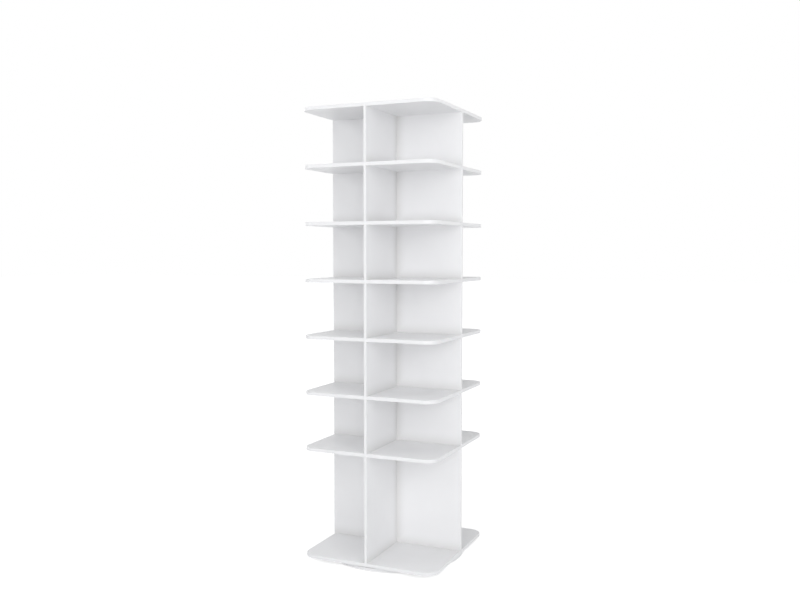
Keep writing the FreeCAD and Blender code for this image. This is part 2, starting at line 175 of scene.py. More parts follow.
def floor_material():
    """Pale paint that looks lifted to white, most of all far off, where the lamps hardly reach."""
    material = bpy.data.materials.new("floor_white")
    material.use_nodes = True
    tree = material.node_tree
    tree.nodes.clear()
    paint = wire(tree, "ShaderNodeBsdfDiffuse", {"Color": FLOOR_COLOUR})
    place = wire(tree, "ShaderNodeTexCoord").outputs["Object"]
    distance = wire(tree, "ShaderNodeVectorMath", {0: place}, operation="LENGTH").outputs["Value"]
    lift = stretch(tree, distance, LIFT_STARTS, LIFT_ENDS, LIFT_NEAR, LIFT_FAR)
    lift = calculate(tree, "MULTIPLY", seen_directly(tree), lift)
    glow = wire(tree, "ShaderNodeEmission", {"Color": grey(1.0), "Strength": lift})
    both = wire(tree, "ShaderNodeAddShader", {0: paint.outputs[0], 1: glow.outputs[0]})
    wire(tree, "ShaderNodeOutputMaterial", {"Surface": both.outputs[0]})
    return material


make_world()
floor_mesh = bpy.data.meshes.new("floor")
floor_build = bmesh.new()
bmesh.ops.create_grid(floor_build, x_segments=1, y_segments=1, size=FLOOR_HALF_WIDTH)
floor_build.to_mesh(floor_mesh)
floor_build.free()
floor_mesh.materials.append(floor_material())
floor = bpy.data.objects.new("floor", floor_mesh)
bpy.context.scene.collection.objects.link(floor)
print("Floor:", 2 * FLOOR_HALF_WIDTH, "m wide")

# %% [markdown]
# ## Lamps
# Soft boxes stand round the tower: the largest in front, one on each side, two weaker ones behind, and
# one overhead, without which the boards' tops would look grey. Boxes of this size so near give soft
# shadows, and light from the front reaches into the compartments, which the world's own light can't.
# A turn is counted from straight in front.

# %% Lamps
AIM_HEIGHT = 0.8
LAMPS = {
    "front_softbox": {"turn": 15.0, "distance": 4.8, "height": 2.0, "size": (3.4, 3.4), "power": 69.0},
    "left_softbox": {"turn": -60.0, "distance": 4.5, "height": 2.4, "size": (2.4, 2.4), "power": 44.0},
    "right_softbox": {"turn": 50.0, "distance": 4.5, "height": 1.9, "size": (2.0, 3.4), "power": 55.0},
    "back_left_softbox": {"turn": -112.0, "distance": 4.5, "height": 2.2, "size": (2.4, 2.4), "power": 18.0},
    "back_right_softbox": {"turn": 140.0, "distance": 4.5, "height": 2.2, "size": (2.4, 2.4), "power": 26.0},
    "overhead_softbox": {"turn": 20.0, "distance": 1.2, "height": 4.2, "size": (2.4, 2.4), "power": 20.0},
}


def add_lamp(name, turn, distance, height, size, power):
    """A soft box that faces the middle of the tower."""
    data = bpy.data.lights.new(name, "AREA")
    data.shape = "RECTANGLE"
    data.size, data.size_y = size
    data.energy = power
    lamp = bpy.data.objects.new(name, data)
    turn = math.radians(turn)
    place = Vector((distance * math.sin(turn), -distance * math.cos(turn), height))
    lamp.location = place
    lamp.rotation_euler = (Vector((0.0, 0.0, AIM_HEIGHT)) - place).to_track_quat("-Z", "Y").to_euler()
    bpy.context.scene.collection.objects.link(lamp)


for name, values in LAMPS.items():
    add_lamp(name, **values)
bpy.context.scene.view_settings.view_transform = "Standard"
print("Lamps:", ", ".join(LAMPS))

# %% [markdown]
# ## Shared effects
# Several finishes share an effect: a pebbled skin, a film of dust, rubbed edges. Each effect is built
# once as a node group with named inputs and outputs, and every material sets its own values on it.

# %% Start a node group
NUMBER = "NodeSocketFloat"


def start_group(name, numbers, outputs):
    """A new shader group that takes a place and some numbers.

    Gives its tree, its input sockets and a function that wires its outputs.
    """
    group = bpy.data.node_groups.new(name, "ShaderNodeTree")
    group.interface.new_socket("Vector", in_out="INPUT", socket_type="NodeSocketVector")
    for label, start in numbers.items():
        socket = group.interface.new_socket(label, in_out="INPUT", socket_type=NUMBER)
        socket.default_value = start
    for label in outputs:
        group.interface.new_socket(label, in_out="OUTPUT", socket_type=NUMBER)
    given = group.nodes.new("NodeGroupInput").outputs
    last = group.nodes.new("NodeGroupOutput")

    def finish(**results):
        for label, value in results.items():
            group.links.new(value, last.inputs[label])
        return group
    return group, given, finish


def facing_up(tree):
    """1 on what faces up, 0 on a wall and -1 on an underside."""
    normal = wire(tree, "ShaderNodeNewGeometry").outputs["Normal"]
    return wire(tree, "ShaderNodeSeparateXYZ", {0: normal}).outputs["Z"]


# %% Pebbled skin
def build_pebbled_skin():
    """Fine pebbles, as pressed into melamine, over the faint waves of the board below."""
    numbers = {"Pebbles": 900.0, "Waves": 60.0, "Wave share": 0.3}
    tree, given, finish = start_group("pebbled_skin", numbers, ["Height"])
    cells = {"Vector": given["Vector"], "Scale": given["Pebbles"]}
    pebbles = wire(tree, "ShaderNodeTexVoronoi", cells, feature="SMOOTH_F1").outputs["Distance"]
    waves = noise(tree, given["Vector"], given["Waves"], Detail=2.0)
    return finish(Height=mix_value(tree, given["Wave share"], pebbles, waves))


PEBBLED_SKIN = build_pebbled_skin()


# %% Dust film
def build_dust_film():
    """Dust lies on what faces up, in soft patches."""
    tree, given, finish = start_group("dust_film", {"Amount": 0.5, "Patches": 7.0}, ["Mask"])
    upward = stretch(tree, facing_up(tree), 0.6, 0.95, 0.0, 1.0)
    patches = noise(tree, given["Vector"], given["Patches"], Detail=6.0, Roughness=0.65)
    spread = stretch(tree, patches, 0.35, 0.7, 0.15, 1.0)
    mask = calculate(tree, "MULTIPLY", calculate(tree, "MULTIPLY", upward, spread), given["Amount"])
    return finish(Mask=mask)


DUST_FILM = build_dust_film()


# %% [markdown]
# ## Painted corner shade
# The inner corners are painted a shade greyer, as painted shade where less light reaches: where two
# dividers meet, and along the foot of every divider. The boards' tops get less of this painted shade.
# Ambient occlusion would find corners by itself, but it is slow and noisy. Here the point's own place
# tells how far its corner is, because the tower is so regular.

# %% Painted corner shade
HALF_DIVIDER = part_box("tier_1_right_divider")[1].y
BASE_TOP, TIER_2_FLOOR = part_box("base_board")[1].z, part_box("shelf_1")[1].z
TOWER_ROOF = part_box("top_board")[0].z
TIER_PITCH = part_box("shelf_2")[1].z - TIER_2_FLOOR
CORNER_FADE = 2.0
BOARD_SHARE = 0.35
TOPS_FACE = 0.5
LEVEL_SLACK = 1e-4


def above_floor(tree, z):
    """How high a point lies over the board below it. The lowest tier is taller than the others."""
    lowest = calculate(tree, "SUBTRACT", z, BASE_TOP)
    others = calculate(tree, "FLOORED_MODULO", calculate(tree, "SUBTRACT", z, TIER_2_FLOOR), TIER_PITCH)
    in_others = calculate(tree, "GREATER_THAN", z, TIER_2_FLOOR)
    return mix_value(tree, in_others, lowest, others)


# Painted shade: this mask greys the inner corners, standing in for the shade that falls there.
def build_painted_corner_shade():
    """1 in the inner corners, falling off to 0 at the reach, on dividers and on the boards' tops."""
    tree, given, finish = start_group("painted_corner_shade", {"Reach": 0.045}, ["Mask"])
    place = wire(tree, "ShaderNodeSeparateXYZ", {0: given["Vector"]}).outputs
    facing = facing_up(tree)
    x, y = (calculate(tree, "ABSOLUTE", place[axis], 0.0) for axis in "XY")
    on_board = calculate(tree, "SUBTRACT", calculate(tree, "MINIMUM", x, y), HALF_DIVIDER)
    on_divider = calculate(tree, "SUBTRACT", calculate(tree, "MAXIMUM", x, y), HALF_DIVIDER)
    on_divider = calculate(tree, "MINIMUM", on_divider, above_floor(tree, place["Z"]))
    is_top = calculate(tree, "GREATER_THAN", facing, TOPS_FACE)
    distance = mix_value(tree, is_top, on_divider, on_board)
    near = stretch(tree, calculate(tree, "DIVIDE", distance, given["Reach"]), 0.0, 1.0, 1.0, 0.0)
    share = stretch(tree, facing, 0.0, 1.0, 1.0, BOARD_SHARE)
    mask = calculate(tree, "MULTIPLY", calculate(tree, "POWER", near, CORNER_FADE), share)
    limits = (
        ("GREATER_THAN", facing, -TOPS_FACE),
        ("GREATER_THAN", place["Z"], BASE_TOP - LEVEL_SLACK),
        ("LESS_THAN", place["Z"], TOWER_ROOF),
    )
    for operation, value, limit in limits:
        mask = calculate(tree, "MULTIPLY", mask, calculate(tree, operation, value, limit))
    return finish(Mask=mask)


PAINTED_CORNER_SHADE = build_painted_corner_shade()


# %% Handling marks
def build_handling_marks():
    """Soft smears that hands leave: they change the gloss and hardly the colour."""
    tree, given, finish = start_group("handling_marks", {"Smears": 11.0}, ["Mask"])
    smears = noise(tree, given["Vector"], given["Smears"], Detail=5.0, Distortion=0.8)
    return finish(Mask=stretch(tree, smears, 0.42, 0.68, 0.0, 1.0))


HANDLING_MARKS = build_handling_marks()


# %% Rubbed rims
RIM_MARK = "rim"


def build_rubbed_rims():
    """A mask along the eased edges, which the meshes mark, broken up where hands rub them."""
    tree, given, finish = start_group("rubbed_rims", {"Breaks": 40.0}, ["Mask"])
    rim = wire(tree, "ShaderNodeAttribute", attribute_name=RIM_MARK)
    breaks = noise(tree, given["Vector"], given["Breaks"], Detail=4.0)
    share = stretch(tree, breaks, 0.4, 0.65, 0.0, 1.0)
    return finish(Mask=calculate(tree, "MULTIPLY", rim.outputs["Fac"], share))


RUBBED_RIMS = build_rubbed_rims()


# %% Pressed chips
def build_pressed_chips():
    """Chipboard as a saw leaves it: flat chips of every tone, lying along the board."""
    tree, given, finish = start_group("pressed_chips", {"Chips": 420.0}, ["Tone", "Height"])
    flattened = wire(tree, "ShaderNodeMapping", {"Vector": given["Vector"], "Scale": (1.0, 1.0, 2.6)})
    chips = wire(tree, "ShaderNodeTexVoronoi", {"Vector": flattened.outputs[0], "Scale": given["Chips"]})
    tone = wire(tree, "ShaderNodeSeparateColor", {0: chips.outputs["Color"]})
    return finish(Tone=tone.outputs["Red"], Height=chips.outputs["Distance"])


PRESSED_CHIPS = build_pressed_chips()


# %% Turned lines
def build_turned_lines():
    """The fine rings that a lathe tool leaves round the upright axis."""
    tree, given, finish = start_group("turned_lines", {"Lines": 2500.0}, ["Height"])
    parts = wire(tree, "ShaderNodeSeparateXYZ", {0: given["Vector"]})
    across = wire(tree, "ShaderNodeCombineXYZ", {0: parts.outputs["X"], 1: parts.outputs["Y"]})
    radius = wire(tree, "ShaderNodeVectorMath", {0: across.outputs[0]}, operation="LENGTH")
    inputs = {"W": radius.outputs["Value"], "Scale": given["Lines"], "Detail": 3.0}
    lines = wire(tree, "ShaderNodeTexNoise", inputs, noise_dimensions="1D")
    return finish(Height=lines.outputs["Fac"])


TURNED_LINES = build_turned_lines()
print("Shared effects:", ", ".join(group.name for group in bpy.data.node_groups))

# %% [markdown]
# ## Finishes
# Every finish starts from the same bench: Object coordinates, a Principled shader and a Bump node.
# The numbers that are the same all over go straight on the shader's own sockets.

# %% Start a material
MAKE_WHITE = (0.89, 0.89, 0.90, 1.0)


class Finish:
    """A material under construction: its tree, its coordinates and its shader."""

    def __init__(self, name, **sockets):
        self.material = bpy.data.materials.new(name)
        self.material.use_nodes = True
        self.tree = self.material.node_tree
        self.tree.nodes.clear()
        self.place = wire(self.tree, "ShaderNodeTexCoord").outputs["Object"]
        self.shader = wire(self.tree, "ShaderNodeBsdfPrincipled", sockets)
        wire(self.tree, "ShaderNodeOutputMaterial", {"Surface": self.shader.outputs[0]})

    def effect(self, group, **values):
        """Place a shared effect, with this material's own values."""
        inputs = {label.replace("_", " "): value for label, value in values.items()}
        return wire(self.tree, "ShaderNodeGroup", {"Vector": self.place, **inputs}, node_tree=group).outputs

    def noise(self, scale, detail=3.0):
        """Clouds of a scale, in repeats per metre."""
        return noise(self.tree, self.place, scale, Detail=detail)

    def feed(self, socket, value):
        """Link a colour or a number to the shader."""
        self.tree.links.new(value, self.shader.inputs[socket])

    def bump(self, height, depth):
        """Raise the surface by a height map, where white stands this many metres high."""
        node = wire(self.tree, "ShaderNodeBump", {"Height": height, "Distance": depth})
        self.feed("Normal", node.outputs["Normal"])

    def mix(self, factor, first, second):
        """Blend two colours by a mask."""
        return mix_colour(self.tree, factor, first, second)

    def stretch(self, value, *limits):
        """Map a value from one range to another."""
        return stretch(self.tree, value, *limits)


def white_melamine():
    """The boards' faces: satin white paper and resin, pressed against a pebbled plate."""
    finish = Finish("white_melamine", IOR=1.5)
    skin = finish.effect(PEBBLED_SKIN, Pebbles=1100.0, Waves=55.0, Wave_share=0.25)
    dust = finish.effect(DUST_FILM, Amount=0.3)["Mask"]
    marks = finish.effect(HANDLING_MARKS)["Mask"]
    mottle = finish.stretch(finish.noise(16.0), 0.3, 0.7, 0.0, 1.0)
    base = finish.mix(mottle, (0.882, 0.882, 0.892, 1.0), MAKE_WHITE)
    dusted = finish.mix(dust, base, (0.80, 0.795, 0.79, 1.0))
    # Painted shade: the inner corners are mixed towards grey by the corner mask.
    corners = finish.effect(PAINTED_CORNER_SHADE)["Mask"]
    finish.feed("Base Color", finish.mix(corners, dusted, (0.75, 0.747, 0.745, 1.0)))
    finish.feed("Roughness", finish.stretch(marks, 0.0, 1.0, 0.38, 0.5))
    finish.bump(skin["Height"], 0.00004)
    return finish.material


def white_edge_band():
    """The band round the boards: extruded plastic, a little smoother and brighter than the faces."""
    finish = Finish("white_edge_band", IOR=1.5)
    rubbed = finish.effect(RUBBED_RIMS)["Mask"]
    skin = finish.effect(PEBBLED_SKIN, Pebbles=700.0, Waves=90.0, Wave_share=0.6)
    mottle = finish.stretch(finish.noise(25.0), 0.3, 0.7, 0.0, 1.0)
    base = finish.mix(mottle, (0.84, 0.84, 0.85, 1.0), (0.85, 0.85, 0.86, 1.0))
    finish.feed("Base Color", finish.mix(rubbed, base, (0.82, 0.815, 0.81, 1.0)))
    finish.feed("Roughness", finish.stretch(rubbed, 0.0, 1.0, 0.33, 0.5))
    finish.bump(skin["Height"], 0.00003)
    return finish.material


def chipboard():
    """The core of the boards, seen in the drilled holes and the routed seats."""
    finish = Finish("chipboard", Roughness=0.85)
    chips = finish.effect(PRESSED_CHIPS)
    base = finish.mix(chips["Tone"], (0.32, 0.20, 0.11, 1.0), (0.62, 0.47, 0.30, 1.0))
    finish.feed("Base Color", base)
    finish.bump(chips["Height"], 0.0004)
    return finish.material


def turned_aluminium():
    """The bearing's rings, turned on a lathe."""
    finish = Finish("turned_aluminium", Metallic=1.0)
    lines = finish.effect(TURNED_LINES)["Height"]
    tone = finish.mix(finish.noise(30.0), (0.68, 0.68, 0.69, 1.0), (0.74, 0.74, 0.75, 1.0))
    finish.feed("Base Color", tone)
    finish.feed("Roughness", finish.stretch(lines, 0.3, 0.7, 0.26, 0.42))
    finish.bump(lines, 0.00002)
    return finish.material


def zinc_plate():
    """Bright zinc on the screws, cloudy where the plating pooled."""
    finish = Finish("zinc_plate", Metallic=1.0)
    clouds = finish.stretch(finish.noise(260.0, 5.0), 0.35, 0.65, 0.0, 1.0)
    finish.feed("Base Color", finish.mix(clouds, (0.58, 0.58, 0.57, 1.0), (0.72, 0.71, 0.68, 1.0)))
    finish.feed("Roughness", finish.stretch(clouds, 0.0, 1.0, 0.26, 0.44))
    finish.bump(finish.noise(1800.0), 0.00001)
    return finish.material


def polished_steel():
    """The bearing's balls: ground and polished, with a little haze."""
    finish = Finish("polished_steel", Metallic=1.0)
    haze = finish.noise(600.0)
    finish.feed("Base Color", finish.mix(haze, (0.70, 0.70, 0.71, 1.0), (0.76, 0.76, 0.77, 1.0)))
    finish.feed("Roughness", finish.stretch(haze, 0.3, 0.7, 0.06, 0.14))
    return finish.material


def natural_nylon():
    """The ball cage: undyed nylon, which lets a little light in."""
    translucency = {"Subsurface Weight": 0.1, "Subsurface Radius": (0.002, 0.002, 0.001)}
    finish = Finish("natural_nylon", **translucency)
    clouds = finish.noise(120.0)
    finish.feed("Base Color", finish.mix(clouds, (0.76, 0.75, 0.69, 1.0), (0.83, 0.82, 0.77, 1.0)))
    finish.feed("Roughness", finish.stretch(clouds, 0.3, 0.7, 0.42, 0.52))
    finish.bump(finish.noise(1500.0), 0.00002)
    return finish.material


def moulded_rubber():
    """The feet: black rubber with a fine matt bloom."""
    finish = Finish("moulded_rubber")
    bloom = finish.stretch(finish.noise(140.0, 5.0), 0.4, 0.7, 0.0, 1.0)
    finish.feed("Base Color", finish.mix(bloom, (0.018, 0.018, 0.019, 1.0), (0.045, 0.045, 0.046, 1.0)))
    finish.feed("Roughness", finish.stretch(bloom, 0.0, 1.0, 0.62, 0.82))
    finish.bump(finish.effect(PEBBLED_SKIN, Pebbles=1600.0, Waves=300.0)["Height"], 0.00006)
    return finish.material


def raw_beech():
    """Dowels: beech with its short dark flecks along the pin."""
    finish = Finish("raw_beech")
    flecks = wire(finish.tree, "ShaderNodeMapping", {"Vector": finish.place, "Scale": (1.0, 1.0, 0.12)})
    grain = noise(finish.tree, flecks.outputs[0], 1500.0, Detail=4.0)
    tone = finish.stretch(grain, 0.38, 0.66, 0.0, 1.0)
    finish.feed("Base Color", finish.mix(tone, (0.66, 0.47, 0.29, 1.0), (0.52, 0.34, 0.19, 1.0)))
    finish.feed("Roughness", finish.stretch(tone, 0.0, 1.0, 0.6, 0.75))
    finish.bump(tone, 0.00004)
    return finish.material


def white_moulding():
    """The screw plugs: injection-moulded, a shade glossier than the boards."""
    finish = Finish("white_moulding", IOR=1.5)
    marks = finish.effect(HANDLING_MARKS, Smears=60.0)["Mask"]
    finish.feed("Base Color", finish.mix(marks, (0.85, 0.85, 0.862, 1.0), (0.87, 0.87, 0.882, 1.0)))
    finish.feed("Roughness", finish.stretch(marks, 0.0, 1.0, 0.28, 0.4))
    finish.bump(finish.effect(PEBBLED_SKIN, Pebbles=2200.0, Waves=400.0)["Height"], 0.00002)
    return finish.material


MELAMINE, BAND, CHIPBOARD = white_melamine(), white_edge_band(), chipboard()
ALUMINIUM, ZINC, STEEL = turned_aluminium(), zinc_plate(), polished_steel()
NYLON, RUBBER, BEECH, MOULDING = natural_nylon(), moulded_rubber(), raw_beech(), white_moulding()
print("Finishes:", ", ".join(material.name for material in bpy.data.materials))

# %% [markdown]
# ## From a bmesh to a piece
# A bmesh is Blender's editable mesh. When a shape is done it becomes an object that rides on the CAD
# body it belongs to and stands for its CAD node. The object stays at the origin: its place is in its
# points, as with the CAD nodes. Smooth faces next to flat ones would smear the light, so sharp edges
# are marked and the normals are weighted by the faces' areas.

# %% Finish a piece
BODY_OF = {node: body for body, nodes in frame["record"]["behaviour"]["bodies"].items() for node in nodes}
SMOOTH_BELOW = math.radians(35.0)


def start_build():
    """An empty bmesh, ready to hold rim marks."""
    build = bmesh.new()
    build.faces.layers.float.new(RIM_MARK)
    return build


def new_object(name, build, materials):
    """Turn a bmesh into an object with these materials."""
    mesh = bpy.data.meshes.new(name)
    build.to_mesh(mesh)
    build.free()
    for material in materials:
        mesh.materials.append(material)
    made = bpy.data.objects.new(name, mesh)
    bpy.context.scene.collection.objects.link(made)
    return made


def soften(mesh):
    """Smooth shading, except across the edges that are really sharp."""
    build = bmesh.new()
    build.from_mesh(mesh)
    for face in build.faces:
        face.smooth = True
    for edge in build.edges:
        edge.smooth = len(edge.link_faces) == 2 and edge.calc_face_angle() < SMOOTH_BELOW
    build.to_mesh(mesh)
    build.free()


def stand_for(piece, node):
    """Let a finished piece take the place of a CAD node."""
    soften(piece.data)
    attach(piece, BODY_OF[node])
    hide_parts(node)
    weighted = piece.modifiers.new("even_normals", "WEIGHTED_NORMAL")
    weighted.keep_sharp = True
    print(f"{piece.name}: {len(piece.data.polygons)} faces, stands for {node}")


# %% [markdown]
# ## Slabs and rims
# Every board is a slab with four rounded corners. Bevelling the upright edges of a cube rounds them:
# a bevel with many segments and a profile of 0.5 is a true arc. The eased rims are small bevels too,
# and their faces are marked, so that the band's finish can look rubbed just there.

# %% Slab helpers
CORNER_RADIUS = 0.046
CORNER_SEGMENTS = 20
EASE = 0.0005
EASE_SEGMENTS = 3
LEVEL_NORMAL = 0.99
WALL_NORMAL = 0.1
UPRIGHT_SHARE = 0.9


def bevel(build, edges, width, segments):
    """Round some edges off. The operator's defaults are not those of the editor."""
    return bmesh.ops.bevel(build, geom=edges, offset=width, offset_type="OFFSET", segments=segments,
                           profile=0.5, affect="EDGES", material=-1, clamp_overlap=True)["faces"]


def in_order(items):
    """The items without repeats, in the order they came, which a set wouldn't keep."""
    return list(dict.fromkeys(items))


def is_upright(edge):
    """Whether an edge stands up, or nearly."""
    return abs(edge.verts[0].co.z - edge.verts[1].co.z) > UPRIGHT_SHARE * edge.calc_length()


def add_block(build, low, high):
    """A plain block between two corners."""
    place = Matrix.Translation((low + high) / 2) @ Matrix.Diagonal((*(high - low), 1.0))
    return bmesh.ops.create_cube(build, size=1.0, matrix=place)["verts"]


def rounded_slab(low, high, corner_radius):
    """A block with its four upright edges rounded."""
    build = start_build()
    add_block(build, low, high)
    bevel(build, [edge for edge in build.edges if is_upright(edge)], corner_radius, CORNER_SEGMENTS)
    return build


def level_faces(build):
    """The top face and the bottom face of a slab."""
    return [face for face in build.faces if abs(face.normal.z) > LEVEL_NORMAL]


def ease(build, edges):
    """Round edges as a hand does with fine paper, and mark the new faces as rims."""
    layer = build.faces.layers.float[RIM_MARK]
    for face in bevel(build, edges, EASE, EASE_SEGMENTS):
        face[layer] = 1.0


def outer_rims(build, centre):
    """The edges where a band's outer wall meets its top and its bottom."""
    rims = []
    for edge in build.edges:
        walls = [face for face in edge.link_faces if abs(face.normal.z) < WALL_NORMAL]
        if len(walls) == 1 and not is_upright(edge):
            outwards = (edge.verts[0].co + edge.verts[1].co) / 2 - centre
            if walls[0].normal.dot(outwards) > 0.0:
                rims.append(edge)
    return rims


# %% [markdown]
# ## Edge bands
# A band is a hollow slab: inset the top and the bottom face by the band's thickness, take the two
# inner faces away and bridge the two loops that are left. That gives an even wall without a Boolean.
# A real band is one strip whose ends meet in a butt joint at the back, so the ring is cut there.

# %% Board edge bands
JOINT_OFFSET = 0.118
JOINT_WIDTH = 0.00015


def hollow(build, thickness):
    """Turn a slab into a ring with a wall of this thickness."""
    caps = level_faces(build)
    bmesh.ops.inset_region(build, faces=caps, thickness=thickness, use_boundary=True, use_even_offset=True)
    loops = [edge for cap in caps for edge in cap.edges]
    bmesh.ops.delete(build, geom=caps, context="FACES_ONLY")
    bmesh.ops.bridge_loops(build, edges=loops)
    bmesh.ops.recalc_face_normals(build, faces=build.faces)


def open_joint(build, middle):
    """Cut the strip through at the back, so that its two ends stand a hair apart."""
    sides = (middle - JOINT_WIDTH / 2, middle + JOINT_WIDTH / 2)
    for side in sides:
        back = [face for face in build.faces if face.calc_center_median().y > 0.0]
        around = in_order(item for face in back for item in (face, *face.edges, *face.verts))
        bmesh.ops.bisect_plane(build, geom=around, plane_co=(side, 0.0, 0.0), plane_no=(1.0, 0.0, 0.0))
    gap = [face for face in build.faces
           if sides[0] < face.calc_center_median().x < sides[1] and face.calc_center_median().y > 0.0]
    bmesh.ops.delete(build, geom=gap, context="FACES")
    bmesh.ops.holes_fill(build, edges=[edge for edge in build.edges if edge.is_boundary], sides=0)
    bmesh.ops.recalc_face_normals(build, faces=build.faces)


def board_banding(node, thickness):
    """The strip glued round a board."""
    low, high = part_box(node)
    build = rounded_slab(low, high, CORNER_RADIUS)
    hollow(build, thickness)
    ease(build, outer_rims(build, (low + high) / 2))
    open_joint(build, JOINT_OFFSET)
    return new_object(node.replace("edge_band", "banding"), build, [BAND])


BOARDS = ["base_board", *(f"shelf_{number}" for number in range(1, 7)), "top_board"]
BAND_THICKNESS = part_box("base_board")[0].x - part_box("base_board_edge_band")[0].x
for board in BOARDS:
    stand_for(board_banding(board + "_edge_band", BAND_THICKNESS), board + "_edge_band")

# %% [markdown]
# ## Strips on the dividers
# The outer end of every divider has its own short strip. The CAD model keeps all 28 in one node, so
# they stay one piece here: a block for each, with its two long outer edges eased.

# %% Divider strips
MERGE = 1e-6


def solids_of(node):
    """The low and the high corner of each separate solid in a CAD node, from the floor up."""
    build = bmesh.new()
    build.from_mesh(frame["nodes"][node].data)
    bmesh.ops.remove_doubles(build, verts=build.verts, dist=MERGE)
    waiting = set(build.verts)
    corners = []
    while waiting:
        island, fresh = set(), {waiting.pop()}
        while fresh:
            island |= fresh
            fresh = {edge.other_vert(vert) for vert in fresh for edge in vert.link_edges} - island
        waiting -= island
        places = [vert.co for vert in island]
        corners.append(tuple(Vector(pick(place[axis] for place in places) for axis in range(3))
                             for pick in (min, max)))
    build.free()
    return sorted(corners, key=lambda pair: [round(value, 4) for value in reversed(pair[0])])


def divider_strips(node):
    """A block for every strip, eased along its two outer edges."""
    build = start_build()
    strips = []
    for low, high in solids_of(node):
        corners = add_block(build, low, high)
        reach = max(abs(value) for value in (low.x, low.y, high.x, high.y))
        outer = [vert for vert in corners if max(abs(vert.co.x), abs(vert.co.y)) > reach - EASE]
        strips += in_order(edge for vert in outer for edge in vert.link_edges if is_upright(edge))
    ease(build, strips)
    return new_object("divider_banding", build, [BAND])


stand_for(divider_strips("divider_edge_bands"), "divider_edge_bands")

# %% [markdown]
# ## Turned shapes
# Screws, plugs, feet, rings and the disc are all round about an upright axis. Each is an outline of
# (radius, height) points that bmesh spins a full turn. Repeated parts are turned once and copied.

# %% Lathe helpers
FULL_TURN = math.radians(360.0)
ROUND_SEGMENTS = 24
FINE_SEGMENTS = 48
ARC_STEPS = 6
UP = Vector((0.0, 0.0, 1.0))


def lathe(outline, segments=ROUND_SEGMENTS, closed=False):
    """Spin an outline of (radius, height) points. A closed outline gives a ring."""
    build = start_build()
    points = [build.verts.new((radius, 0.0, height)) for radius, height in outline]
    following = points[1:] + (points[:1] if closed else [])
    edges = [build.edges.new(pair) for pair in zip(points, following)]
    bmesh.ops.spin(build, geom=points + edges, cent=(0.0, 0.0, 0.0), axis=UP, dvec=(0.0, 0.0, 0.0),
                   angle=FULL_TURN, steps=segments, use_merge=True)
    bmesh.ops.remove_doubles(build, verts=build.verts, dist=MERGE)
    bmesh.ops.recalc_face_normals(build, faces=build.faces)
    return build


def arc(centre, radius, start, end, steps=ARC_STEPS):
    """Points of (radius, height) along an arc, from one angle in degrees to another."""
    turns = [math.radians(start + (end - start) * step / steps) for step in range(steps + 1)]
    return [(centre[0] + radius * math.cos(turn), centre[1] + radius * math.sin(turn)) for turn in turns]


def copies(template, places):
    """One bmesh with a copy of the template at each place, which is a point or a matrix."""
    mesh = bpy.data.meshes.new("template")
    template.to_mesh(mesh)
    template.free()
    build = bmesh.new()
    for place in places:
        known = len(build.verts)
        build.from_mesh(mesh)
        build.verts.ensure_lookup_table()
        move = place if isinstance(place, Matrix) else Matrix.Translation(place)
        bmesh.ops.transform(build, matrix=move, verts=build.verts[known:])
    bpy.data.meshes.remove(mesh)
    return build


def axis_point(corners, height):
    """The point on the upright middle line of a box, at a height."""
    low, high = corners
    return Vector(((low.x + high.x) / 2, (low.y + high.y) / 2, height))


# %% [markdown]
# ## Holes
# Holes come from the fasteners, not from a list of places: each dowel and screw in the CAD model says
# where its hole is, and the hole is a little wider. A Boolean modifier cuts them, because round holes
# through a large face are just what it is good at. The cutters carry the chipboard finish, so every
# hole shows the board's core.

# %% Cutters
DOWEL_FIT = 0.00005
SCREW_FIT = 0.00005
END_GAP = 0.0005
SHANK_OF = {"foot_screws": 0.0035, "inner_ring_screws": 0.004, "outer_ring_screws": 0.004}
PANEL_SHANK = 0.0035
HEADS_DOWN = ("base_board_screws", "inner_ring_screws", "outer_ring_screws", "foot_screws")
COUNTERSUNK = ("base_board_screws", "shelf_screws", "top_board_screws",
               "inner_ring_screws", "outer_ring_screws")
DOWELS = ("shelf_dowels", "end_dowels", "cross_dowels")
TURN_OVER = Matrix.Rotation(math.radians(180.0), 4, "X")
ALONG_X = Matrix.Rotation(math.radians(90.0), 4, "Y")


def shank_of(node):
    """The shank diameter of a node's screws."""
    return SHANK_OF.get(node, PANEL_SHANK)


def screw_sizes(node, corners):
    """Head radius, shank radius and length of a screw."""
    low, high = corners
    return (high.x - low.x) / 2, shank_of(node) / 2, high.z - low.z


def screw_place(node, corners):
    """Where a screw that points down from the origin goes."""
    low, high = corners
    if node in HEADS_DOWN:
        return Matrix.Translation(axis_point(corners, low.z)) @ TURN_OVER
    return Matrix.Translation(axis_point(corners, high.z))


def dowel_place(corners):
    """Where an upright dowel about the origin goes, laid along X if the CAD one is."""
    low, high = corners
    size = high - low
    return Matrix.Translation((low + high) / 2) @ (ALONG_X if size.x > size.z else Matrix.Identity(4))


def countersunk_cutter(node, corners):
    """The hole for one screw, open a little past the face so that no skin is left."""
    head, shank, length = screw_sizes(node, corners)
    outline = [(0.0, END_GAP), (head + SCREW_FIT, END_GAP), (head + SCREW_FIT, 0.0),
               (shank + SCREW_FIT, shank - head), (shank + SCREW_FIT, -length - END_GAP),
               (0.0, -length - END_GAP)]
    return copies(lathe(outline), [screw_place(node, corners)])


def dowel_cutter(corners):
    """The hole for one dowel, with room for glue at both ends."""
    low, high = corners
    across, along = min(high - low) / 2 + DOWEL_FIT, max(high - low) / 2 + END_GAP
    outline = [(0.0, along), (across, along), (across, -along), (0.0, -along)]
    return copies(lathe(outline), [dowel_place(corners)])


def fastener_cutters():
    """Every dowel and countersunk screw, as (corners, function that makes its cutter)."""
    found = []
    for node in DOWELS:
        found += [(corners, partial(dowel_cutter, corners)) for corners in solids_of(node)]
    for node in COUNTERSUNK:
        found += [(corners, partial(countersunk_cutter, node, corners)) for corners in solids_of(node)]
    return found


def boxes_meet(first, second):
    """Whether two boxes, each a low and a high corner, share any space."""
    return all(first[0][axis] < second[1][axis] and second[0][axis] < first[1][axis] for axis in range(3))


